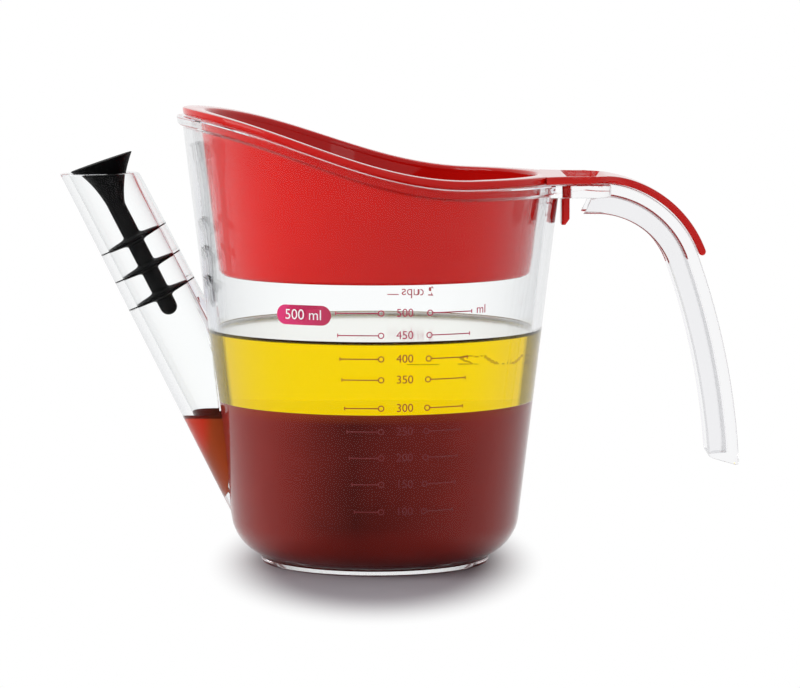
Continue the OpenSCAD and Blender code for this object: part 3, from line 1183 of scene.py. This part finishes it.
# Cross-sections from the red rim out over the handle, closest where the shoulder narrows fastest.
def thumbRest():
    length = radians(strap["turn"]) * (strapTop - bendZ)
    begin = cupAt(strapTop) + flange - strap["into"] - grip["bendX"]
    end = shoulder["end"] - grip["bendX"]
    stops = [begin + (end - begin) * i / 34 for i in range(35)]
    past, fine = end + 0.02, 5.6
    stops += [past + fine * i / 16 for i in range(16)]
    stops += [past + fine + (length - past - fine) * i / 34 for i in range(35)]
    rings = []
    for s in stops:
        point, out = strapStation(s)
        rings.append(strapRing(point, out, strapHalf(point.x), strap["thick"], 0))
    point, out = strapStation(length)
    along = Vector((out.z, 0, -out.x))
    tip = strap["thick"] / 2
    for a in (20, 40, 60, 78):
        moved = point + along * (tip * sin(radians(a)))
        thinner = tip * (1 - cos(radians(a)))
        half, thick = strap["wide"] / 2 - thinner * 0.6, strap["thick"] - 2 * thinner
        rings.append(strapRing(moved, out, half, thick, thinner))
    return loft("thumbRest", rings)


# One cross-section, worked out as (y, depth) pairs: over the top, round an edge, back underneath and up the
# other edge.
def strapRing(point, out, half, thick, sink):
    steps = strap["steps"]
    edge = min(strap["edge"], thick * 0.45)
    level = half - edge
    top = [level * (2 * i / steps - 1) for i in range(steps + 1)]
    corner = []
    for a in (60, 30, 0, -30, -60):
        below = thick - 2 * edge if a < 0 else 0
        corner.append((level + edge * cos(radians(a)), sink + edge - edge * sin(radians(a)) + below))
    section = [(y, sink + (dishDepth(point.x, y) if sink == 0 else 0)) for y in top]
    section += corner
    section += [(-y, sink + thick) for y in top]
    section += [(-y, depth) for y, depth in reversed(corner)]
    return [point - out * depth + Vector((0, y, 0)) for y, depth in section]


# A tongue with round edges that tapers at its end.
def latchTab():
    low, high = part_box("latch_tab")
    near = low.x / mm
    taper = latch["taper"]
    rings = []
    for share in [0, 0.06, taper, 0.3, 0.5, 0.7, 0.85, 1]:
        z = (low.z + (high.z - low.z) * share) / mm
        thick = latch["thick"] * (0.5 + 0.5 * min(1, share / taper))
        wide = latch["wide"] - latch["narrow"] * max(0, 1 - share / taper) ** 2
        section = roundedSection(0, thick, wide, min(0.7, thick * 0.4), 3)
        rings.append([(near + d, y, z) for d, y in section])
    return loft("latchTongue", rings)


def strainer():
    whole = splashRim()
    combine(whole, thumbRest(), "UNION")
    combine(whole, strainerBasket(), "UNION")
    combine(whole, latchTab(), "UNION")
    whole.name = "redStrainer"
    smooth(whole, 35)
    nodes = ["strainer_basket", "splash_rim", "thumb_rest", "latch_tab"]
    dress(whole, redFinish, "strainer", nodes)


strainer()
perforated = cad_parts["strainer_plate"]
perforated.data.materials.clear()
perforated.data.materials.append(redFinish)
print("strainer made")


# the stopper

stopper = {
    "stem": 2.7,
    "bite": 0.04,  # how far the fins press into the bore
    "firstFin": 23.0,  # distance below the mouth
    "pitch": 9.5,
    "fins": 3,
    "root": 2.4,  # thickness of a fin at the stem
    "rim": 0.9,  # and at its edge
    "tail": 7.0,  # stem below the last fin
    "head": 9.9,
    "drop": 12.0,  # the trumpet starts this far below the mouth
    "rise": 2.9,  # and ends this far above it
    "lean": 8.0,  # degrees that it bends back towards upright
    "round": 72,
}


# Radius of the stem at a distance along the spout from the mouth, trumpet included.
def stemRadius(along):
    radius = stopper["stem"]
    up = (along + stopper["drop"]) / (stopper["drop"] + stopper["rise"])
    if up > 0:
        radius += (stopper["head"] - stopper["stem"]) * up**1.6
    return radius


# (radius, distance along the spout) from the foot to the trumpet's top.
def stopperProfile():
    foot = stopper["firstFin"] + (stopper["fins"] - 1) * stopper["pitch"] + stopper["tail"]
    stem = stopper["stem"]
    profile = [(0, -foot)]
    profile += [(stem * sin(radians(a)), stem * (1 - cos(radians(a))) - foot) for a in range(15, 91, 15)]
    root, rim = stopper["root"] / 2, stopper["rim"] / 2
    tipR = spout["bore"] + stopper["bite"]
    below = [(stem, root + 0.5), (stem + 0.35, root + 0.1), (stem + 1.2, root * 0.85)]
    below += [(tipR - 0.3, rim), (tipR, rim * 0.4)]
    for fin in reversed(range(stopper["fins"])):
        centre = -stopper["firstFin"] - fin * stopper["pitch"]
        profile += [(radius, centre - away) for radius, away in below]
        profile += [(radius, centre + away) for radius, away in reversed(below)]
    drop, rise = stopper["drop"], stopper["rise"]
    for step in range(19):
        along = -drop + (drop + rise) * step / 18
        profile.append((stemRadius(along), along))
    head = stopper["head"]
    profile += [(head - 0.05, rise + 0.12), (head - 0.3, rise + 0.2), (head * 0.8, rise - 0.05)]
    profile += [(head * 0.4, rise - 0.35), (0, rise - 0.4)]
    return profile


# The trumpet bends back towards upright about the place where it starts.
def spoutStopper():
    count = stopper["round"]
    turn = radians(stopper["lean"])
    pivot = -stopper["drop"]
    rings = []
    for radius, along in stopperProfile():
        bent = turn * min(1, max(0, (along - pivot + 2) / 4))
        ring = []
        for i in range(1 if radius == 0 else count):
            a = 2 * pi * i / count
            x, y, z = radius * cos(a), radius * sin(a), along - pivot
            side, up = x * cos(bent) + z * sin(bent), z * cos(bent) - x * sin(bent)
            ring.append(spoutMouth + spoutSide * side + spoutAxis * (pivot + up) + Vector((0, y, 0)))
        rings.append(ring)
    return loft("spoutStopper", rings)


plug = spoutStopper()
smooth(plug, 40)
dress(plug, blackFinish, "stopper", ["spout_stopper"])
print("stopper made")


# floor, daylight and lamps

studio = {
    "floor": 4000,
    "drop": 0.05,
    "cells": 8,
    "fadeFrom": 30,  # the grey floor of the painted shadow pool, which takes the real shadows too, turns into the white background between these
    "fadeTo": 53,
    "oval": 0.19,  # weight of Y's square, which makes the fade an oval
    "sky": 0.4,
    "aim": 70,  # height that the lamps shine at
}
lamps = {
    "keyBox": {"spot": (-980, -160, 300), "wide": 600, "high": 1000, "power": 7.0},
    "fillBox": {"spot": (500, -1100, 600), "wide": 400, "high": 700, "power": 1.2},
    "topBox": {"spot": (0, 200, 1200), "wide": 800, "high": 600, "power": 3.5},
}


def floorFinish():
    f = newFinish("paleFloor")
    x, y, _ = place(f)
    away = f.maths("SQRT", x * x + y * y * studio["oval"])
    fade = between(away, studio["fadeFrom"], studio["fadeTo"])
    fade = fade * fade * (3 - 2 * fade)
    # A painted shadow pool: the floor is grey in an oval round the jug, where the real shadows also fall,
    # and fades to white emission beyond.
    shade = mixColour(f, noise(f, 60), (0.44, 0.41, 0.44, 1), (0.47, 0.44, 0.47, 1))
    shadowPool = principled(f, {"Base Color": shade, "Roughness": 0.9, "Specular IOR Level": 0.1})
    white = f.add("Emission", {}, {"Color": (1, 1, 1, 1), "Strength": 1.0})[0]
    return f.done(mixShader(f, fade, shadowPool, white))


def makeFloor():
    size = studio["floor"] / 2
    steps = studio["cells"]
    spots = [size * (2 * i / steps - 1) for i in range(steps + 1)]
    points = [(x, y, -studio["drop"]) for x in spots for y in spots]
    faces = []
    for i in range(steps):
        for j in range(steps):
            a = i * (steps + 1) + j
            faces.append((a, a + steps + 1, a + steps + 2, a + 1))
    ground = newMesh("paleFloor", points, faces)
    ground.data.materials.append(floorFinish())


# White to the camera, in mirrors and through what is clear, and softer as light.
def makeDaylight():
    world = bpy.data.worlds.new("studioLight")
    scene.world = world
    f = Finish(world)
    path = f.add("LightPath")
    seen = f.maths("MAXIMUM", f.maths("MAXIMUM", path[0], path[3]), path[6])
    soft = f.add("Background", {}, {"Color": (0.97, 0.98, 1, 1), "Strength": studio["sky"]})[0]
    white = f.add("Background", {}, {"Color": (1, 1, 1, 1), "Strength": 1})[0]
    f.done(mixShader(f, seen, soft, white), "OutputWorld")


def softbox(name, lamp):
    data = bpy.data.lights.new(name, "AREA")
    data.shape = "RECTANGLE"
    data.size, data.size_y = lamp["wide"] * mm, lamp["high"] * mm
    data.energy = lamp["power"]
    box = bpy.data.objects.new(name, data)
    box.location = Vector(lamp["spot"]) * mm
    look = Vector((0, 0, studio["aim"])) * mm - box.location
    box.rotation_euler = look.to_track_quat("-Z", "Y").to_euler()
    box.visible_camera = False
    box.visible_transmission = False
    scene.collection.objects.link(box)


makeFloor()
makeDaylight()
for name, lamp in lamps.items():
    softbox(name, lamp)
print("stage and lamps set")
